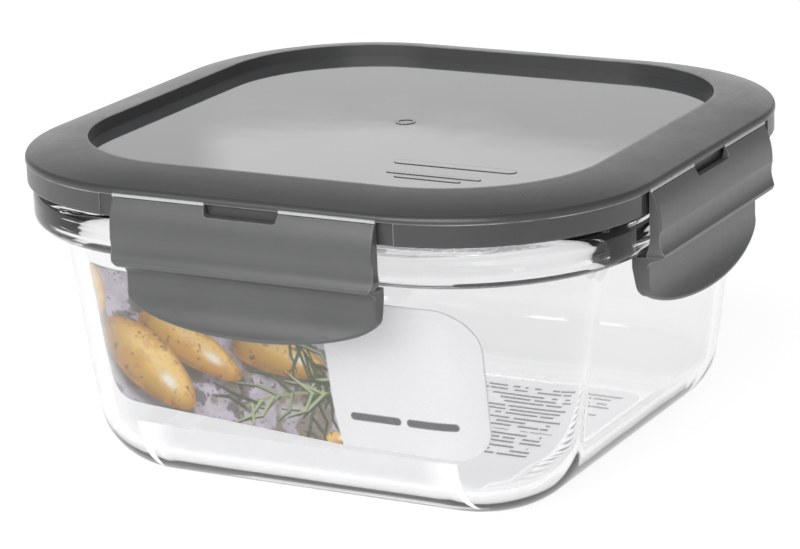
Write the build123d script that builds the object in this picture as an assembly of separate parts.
from build123d import *
import os

# Square glass food container with a four-latch plastic lid, closed.
# Millimetres, +Z up. The origin is the centre of the foot ring's plane.
# The front, with the label card, faces -Y. The right side faces +X.

# ---- driving dimensions: glass bowl ----
BASE_HALF = 50.8          # half width that the outer wall would have at z = 0
BASE_R = 19.2             # its corner radius there
WALL_TOP_Z = 51.0         # height where the wall meets the bead
WALL_TOP_HALF = 58.06
WALL_TOP_R = 28.0
FOOT_FILLET = 15.5        # outer rounding between wall and base
FLOOR_FILLET = 11.0       # inner rounding between wall and floor
GLASS_WALL = 3.25
GLASS_FLOOR = 4.0
FOOT_RECESS_HALF = 33.5   # shallow recess inside the foot ring
FOOT_RECESS_R = 13.5
FOOT_RECESS_DEPTH = 0.6

BEAD_HALF = 64.95         # widest line of the rolled rim
BEAD_R = 38.0
BEAD_BOTTOM_Z = 50.9
BEAD_TOP_Z = 60.7
BEAD_LOWER_ROUND = 3.0
BEAD_UPPER_ROUND = 4.0
BEAD_INNER_ROUND = 2.0
BEAD_NECK_ROUND = 1.5     # hollow between the wall and the bead's underside

# ---- driving dimensions: lid ----
FLANGE_HALF = 66.0
FLANGE_R = 38.9
HINGE_Z = 64.0            # height of the four living hinges
FLANGE_TOP_Z = 65.2       # where the vertical edge turns into the top band
BAND_MID_HALF = 60.2
BAND_MID_R = 34.0
BAND_MID_Z = 66.85
CREST_HALF = 55.0
CREST_R = 30.2
CREST_Z = 67.7
WINDOW_HALF = 54.3        # inner edge of the top band
WINDOW_R = 29.5
PANEL_TOP_Z = 65.2
PANEL_THICK = 2.3
RAISED = 0.12             # height of the raised marks on the panel
SKIRT_HALF = 65.8
SKIRT_BOTTOM_Z = 59.5
CHANNEL_HALF = 64.25      # inner face of the skirt
CHANNEL_ROOF_Z = 63.0
RIB_OUTER_HALF = 63.4     # rib that holds the gasket in from outside
RIB_INNER_HALF = 62.4
RIB_BOTTOM_Z = 61.4
PLUG_OUTER_HALF = 55.0    # ring that reaches down into the bowl
PLUG_INNER_HALF = 53.0
PLUG_BOTTOM_Z = 57.0
GASKET_INNER_HALF = 55.1
GASKET_OUTER_HALF = 62.3
GASKET_BOTTOM_Z = 60.9
NOTCH_HALF_LENGTH = 31.4  # set-back of the skirt behind each latch
NOTCH_HALF = 65.1

# ---- driving dimensions: latches ----
LATCH_HALF_LENGTH = 28.1
TAB_HALF_LENGTH = 26.9
TAB_SHOULDER_Z = 44.5     # where the tab's rounded lower edge begins
TAB_BOTTOM_Z = 38.3
SLOT_TOP_HALF = 8.0
SLOT_BOTTOM_HALF = 7.6
SLOT_BOTTOM_Z = 61.8
HINGE_BEAD_R = 0.35
HINGE_CLEAR = 0.1
LATCH_WALL = 1.5

# ---- driving dimensions: label card ----
CARD_CORNERS = [           # x, z and rounding of each corner, from the top left round
    (-46.5, 45.6, 3.5),
    (41.0, 44.8, 9.0),
    (41.0, 14.0, 6.0),
    (11.0, 14.5, 0.0),
    (-39.5, 17.9, 5.0),
]
CARD_GAP = 0.1
CARD_THICK = 0.35
FOLD_HALF_LENGTH = 35.0    # the fold runs along the front, from the wall down to the floor
FOLD_TOP_Z = 20.0
FLAP_HALF_WIDTH = 38.0     # the flap that lies on the bowl's floor
FLAP_FRONT_Y = -37.0
FLAP_BACK_Y = 27.0
FLAP_CORNER = 5.0

SIDES = {"right": 0, "back": 90, "left": 180, "front": 270}


def square(half, radius, z):
    """A rounded square face at height z."""
    return Pos(0, 0, z) * RectangleRounded(2 * half, 2 * half, radius)


def prism(half, radius, z0, z1):
    """An upright rounded-square block."""
    return extrude(square(half, radius, z0), z1 - z0)


def flange_radius(half):
    """Corner radius of a line that runs parallel to the lid's edge."""
    return FLANGE_R - (FLANGE_HALF - half)


def wall_half(z):
    """Half width of the bowl's outer wall at height z."""
    return BASE_HALF + (WALL_TOP_HALF - BASE_HALF) * z / WALL_TOP_Z


def wall_radius(z):
    """Corner radius of the bowl's outer wall at height z."""
    return BASE_R + (WALL_TOP_R - BASE_R) * z / WALL_TOP_Z


def tapered(inset, z0, z1):
    """A block that follows the bowl's wall, a set distance inside it."""
    low = square(wall_half(z0) - inset, wall_radius(z0) - inset, z0)
    high = square(wall_half(z1) - inset, wall_radius(z1) - inset, z1)
    return loft([low, high], ruled=True)


def edges_at(part, z):
    """The edges of a part that lie wholly at height z."""
    level = part.edges().filter_by(Plane.XY)
    return level.filter_by(lambda e: abs(e.center().Z - z) < 1e-4)


# ---- glass bowl ----
def make_bowl():
    wall = tapered(0, 0, 56)
    wall = fillet(edges_at(wall, 0), FOOT_FILLET)

    bead = prism(BEAD_HALF, BEAD_R, BEAD_BOTTOM_Z, BEAD_TOP_Z)
    bead = fillet(edges_at(bead, BEAD_BOTTOM_Z), BEAD_LOWER_ROUND)
    bead = fillet(edges_at(bead, BEAD_TOP_Z), BEAD_UPPER_ROUND)
    body = wall + bead
    neck = [e for e in edges_at(body, BEAD_BOTTOM_Z) if e.bounding_box().max.X < 59]
    body = fillet(neck, BEAD_NECK_ROUND)

    cavity = tapered(GLASS_WALL, GLASS_FLOOR, BEAD_TOP_Z + 5)
    cavity = fillet(edges_at(cavity, GLASS_FLOOR), FLOOR_FILLET)
    body = body - cavity
    mouth = [e for e in edges_at(body, BEAD_TOP_Z) if e.bounding_box().max.X < 58]
    body = fillet(mouth, BEAD_INNER_ROUND)

    recess = prism(FOOT_RECESS_HALF, FOOT_RECESS_R, -1, FOOT_RECESS_DEPTH)
    recess = fillet(edges_at(recess, FOOT_RECESS_DEPTH), 0.4)
    return body - recess


bowl = make_bowl()


# ---- label card, against the inside of the front wall, with a flap on the bowl's floor ----
def lining(offset):
    """A block that fills the bowl's cavity to a set distance from the glass."""
    block = tapered(GLASS_WALL + offset, GLASS_FLOOR + offset, 50)
    return fillet(edges_at(block, GLASS_FLOOR + offset), FLOOR_FILLET - offset)


def make_card():
    sheet = lining(CARD_GAP) - lining(CARD_GAP + CARD_THICK)
    shape = make_face(Polyline(*[(x, z) for x, z, _ in CARD_CORNERS], close=True))
    for x, z, rounding in CARD_CORNERS:
        if rounding:
            near = shape.vertices().sort_by_distance((x, z, 0))[0]
            shape = fillet(near, rounding)
    panel_cutter = extrude(Plane.XZ * shape, 80)
    fold_cutter = Pos(0, FLAP_FRONT_Y - 20, FOLD_TOP_Z / 2) * Box(
        2 * FOLD_HALF_LENGTH, 42, FOLD_TOP_Z
    )
    flap_depth = FLAP_BACK_Y - FLAP_FRONT_Y
    flap = RectangleRounded(2 * FLAP_HALF_WIDTH, flap_depth, FLAP_CORNER)
    flap_cutter = Pos(0, FLAP_FRONT_Y + flap_depth / 2, 0) * extrude(flap, 8)
    return sheet & (panel_cutter + fold_cutter + flap_cutter)


card = make_card()


# ---- lid frame ----
def make_frame():
    skirt = prism(SKIRT_HALF, flange_radius(SKIRT_HALF), SKIRT_BOTTOM_Z, HINGE_Z)
    skirt = fillet(edges_at(skirt, SKIRT_BOTTOM_Z), 0.5)
    flange = prism(FLANGE_HALF, FLANGE_R, HINGE_Z, FLANGE_TOP_Z)
    band = loft(
        [
            square(FLANGE_HALF, FLANGE_R, FLANGE_TOP_Z),
            square(BAND_MID_HALF, BAND_MID_R, BAND_MID_Z),
            square(CREST_HALF, CREST_R, CREST_Z),
        ]
    )
    top = flange + band
    top = fillet(edges_at(top, FLANGE_TOP_Z), 1.0)
    window = prism(WINDOW_HALF, WINDOW_R, PANEL_TOP_Z - PANEL_THICK, CREST_Z + 1)
    body = top + skirt - window

    channel = prism(CHANNEL_HALF, flange_radius(CHANNEL_HALF), 50, CHANNEL_ROOF_Z)
    channel = channel - prism(
        PLUG_OUTER_HALF, flange_radius(PLUG_OUTER_HALF), 50, CHANNEL_ROOF_Z
    )
    rib = prism(RIB_OUTER_HALF, flange_radius(RIB_OUTER_HALF), RIB_BOTTOM_Z, CHANNEL_ROOF_Z)
    rib = rib - prism(
        RIB_INNER_HALF, flange_radius(RIB_INNER_HALF), RIB_BOTTOM_Z, CHANNEL_ROOF_Z
    )
    plug = prism(PLUG_OUTER_HALF, flange_radius(PLUG_OUTER_HALF), PLUG_BOTTOM_Z, HINGE_Z)
    plug = fillet(edges_at(plug, PLUG_BOTTOM_Z), 0.8)
    hollow = prism(PLUG_INNER_HALF, flange_radius(PLUG_INNER_HALF), 50, HINGE_Z + 1)
    body = body - channel
    return body + rib + plug - hollow - window


frame = make_frame()


# ---- one latch and its living hinge, made for the right side ----
def latch_section():
    """Section through a latch, x outward and z up, hanging from the hinge line."""
    top = HINGE_Z - 0.4
    with BuildSketch(Plane.XZ) as section:
        with BuildLine():
            Line((65.6, top), (66.3, top))
            ThreePointArc((66.3, top), (67.75, 59.6), (68.0, 56.4))
            ThreePointArc((68.0, 56.4), (67.72, 53.6), (68.45, 51.5))
            Line((68.45, 51.5), (68.3, 50.8))
            Line((68.3, 50.8), (67.75, 50.4))
            Line((67.75, 50.4), (65.1, 49.5))
            Line((65.1, 49.5), (64.75, 49.0))
            Line((64.75, 49.0), (64.75, 45.6))
            ThreePointArc((64.75, 45.6), (65.5, 41.9), (68.67, 37.3))
            Line((68.67, 37.3), (67.0, 37.3))
            ThreePointArc((67.0, 37.3), (63.6, 41.2), (62.0, 45.4))
            Line((62.0, 45.4), (61.4, 48.3))
            Line((61.4, 48.3), (61.4, 50.4))
            Line((61.4, 50.4), (64.35, 50.5))
            Line((64.35, 50.5), (65.3, 52.6))
            Line((65.3, 52.6), (65.65, 54.5))
            Line((65.65, 54.5), (65.65, 62.9))
            Line((65.65, 62.9), (65.6, top))
        make_face()
        lip = [v for v in section.vertices() if v.X > 67.6 and 50.3 < v.Z < 51.0]
        fillet(lip, 0.3)
        hook = [v for v in section.vertices() if v.X < 61.5]
        fillet(hook, 0.3)
    return section.sketch


def latch_front():
    """The latch as seen from outside: a wide upper part over a half-moon tab."""
    upper_height = HINGE_Z - 50.3
    upper = Pos(0, HINGE_Z - upper_height / 2) * Rectangle(
        2 * LATCH_HALF_LENGTH, upper_height
    )
    upper = fillet(upper.vertices().sort_by(Axis.Y)[:2], 2.6)
    middle_height = 52.0 - TAB_SHOULDER_Z
    middle = Pos(0, TAB_SHOULDER_Z + middle_height / 2) * Rectangle(
        2 * TAB_HALF_LENGTH, middle_height
    )
    drop = TAB_SHOULDER_Z - TAB_BOTTOM_Z
    tab = Pos(0, TAB_SHOULDER_Z) * Ellipse(TAB_HALF_LENGTH, drop)
    return upper + middle + tab


def latch_slot():
    """The slot in the middle of the hinge line."""
    points = [
        (-SLOT_TOP_HALF, HINGE_Z + 1),
        (-SLOT_TOP_HALF, HINGE_Z - 0.4),
        (-SLOT_BOTTOM_HALF, SLOT_BOTTOM_Z),
        (SLOT_BOTTOM_HALF, SLOT_BOTTOM_Z),
        (SLOT_TOP_HALF, HINGE_Z - 0.4),
        (SLOT_TOP_HALF, HINGE_Z + 1),
    ]
    slot = make_face(Polyline(*points, close=True))
    lower = [v for v in slot.vertices() if abs(v.Y - SLOT_BOTTOM_Z) < 1e-6]
    return fillet(lower, 0.8)


def hinge_rod(radius, y0, y1):
    """A rod along the right-hand hinge line."""
    rod = extrude(Plane.XZ * Circle(radius), y1 - y0)
    return Pos(FLANGE_HALF, y1, HINGE_Z) * rod


def make_latch():
    body = extrude(latch_section(), LATCH_HALF_LENGTH, both=True)
    front = Pos(55, 0, 0) * extrude(Plane.YZ * latch_front(), 20)
    body = body & front
    slot = Pos(55, 0, 0) * extrude(Plane.YZ * latch_slot(), 20)
    body = body - slot
    with BuildSketch(Plane.XZ) as hollow:
        with BuildLine():
            Line((65.0, 53.2), (66.95, 53.2))
            ThreePointArc((66.95, 53.2), (66.55, 57.4), (65.65, 60.9))
            Line((65.65, 60.9), (65.0, 60.9))
            Line((65.0, 60.9), (65.0, 53.2))
        make_face()
    body = body - extrude(hollow.sketch, LATCH_HALF_LENGTH - LATCH_WALL, both=True)
    with BuildSketch(Plane.XZ) as pocket:
        with BuildLine():
            Line((61.0, 48.2), (63.2, 48.0))
            Line((63.2, 48.0), (63.2, 45.5))
            ThreePointArc((63.2, 45.5), (63.95, 41.6), (66.2, 37.9))
            Line((66.2, 37.9), (66.0, 36.0))
            Line((66.0, 36.0), (61.0, 36.0))
            Line((61.0, 36.0), (61.0, 48.2))
        make_face()
    body = body - extrude(pocket.sketch, TAB_HALF_LENGTH - LATCH_WALL, both=True)
    reach = LATCH_HALF_LENGTH + 1
    body = body - hinge_rod(HINGE_BEAD_R + HINGE_CLEAR, -reach, reach)
    rim = body.edges().filter_by(lambda e: e.length > 50 and e.center().Z < 38.5)
    body = fillet(rim.sort_by(Axis.X)[-1], 0.5)
    ends = body.edges().filter_by(
        lambda e: abs(abs(e.center().Y) - LATCH_HALF_LENGTH) < 1e-3
        and e.center().X > 67
        and e.length > 5
    )
    return fillet(ends, 0.3)


latch = make_latch()
hinge_film = Compound(
    children=[
        hinge_rod(HINGE_BEAD_R, SLOT_TOP_HALF, LATCH_HALF_LENGTH),
        hinge_rod(HINGE_BEAD_R, -LATCH_HALF_LENGTH, -SLOT_TOP_HALF),
    ]
)

# The skirt is set back behind each latch, and the flange seats each hinge film.
notch_height = HINGE_Z - 58
notch = Pos(NOTCH_HALF + 5, 0, HINGE_Z - notch_height / 2) * Box(
    10, 2 * NOTCH_HALF_LENGTH, notch_height
)
for angle in SIDES.values():
    frame = frame - Rot(0, 0, angle) * notch
    for film in hinge_film.solids():
        frame = frame - Rot(0, 0, angle) * film


# ---- gasket in the lid's channel ----
gasket = prism(
    GASKET_OUTER_HALF, flange_radius(GASKET_OUTER_HALF), GASKET_BOTTOM_Z, CHANNEL_ROOF_Z
)
gasket = gasket - prism(
    GASKET_INNER_HALF, flange_radius(GASKET_INNER_HALF), GASKET_BOTTOM_Z, CHANNEL_ROOF_Z
)
gasket = fillet(edges_at(gasket, GASKET_BOTTOM_Z), 0.5)


# ---- glossy lid panel with its gate mark and plain raised bars ----
panel = prism(WINDOW_HALF, WINDOW_R, PANEL_TOP_Z - PANEL_THICK, PANEL_TOP_Z)
gate = Pos(0, 0, PANEL_TOP_Z) * extrude(Circle(2.1) - Circle(1.5), RAISED)
panel = panel + gate
BARS = [(25.75, -29.0, 26.0, 2.6), (25.0, -36.6, 20.0, 1.2), (25.0, -39.2, 14.0, 1.2)]
for x, y, length, height in BARS:
    bar = extrude(SlotOverall(length, height), RAISED)
    panel = panel + Pos(x, y, PANEL_TOP_Z) * bar


# ---- write one file per piece ----
nodes = {
    "glass_bowl": bowl,
    "label_card": card,
    "lid_frame": frame,
    "lid_panel": panel,
    "lid_gasket": gasket,
}
for side, angle in SIDES.items():
    nodes[side + "_latch"] = Rot(0, 0, angle) * latch
    nodes[side + "_living_hinge"] = Rot(0, 0, angle) * hinge_film

os.makedirs("parts", exist_ok=True)
for name, shape in nodes.items():
    export_step(shape, "parts/" + name + ".step")
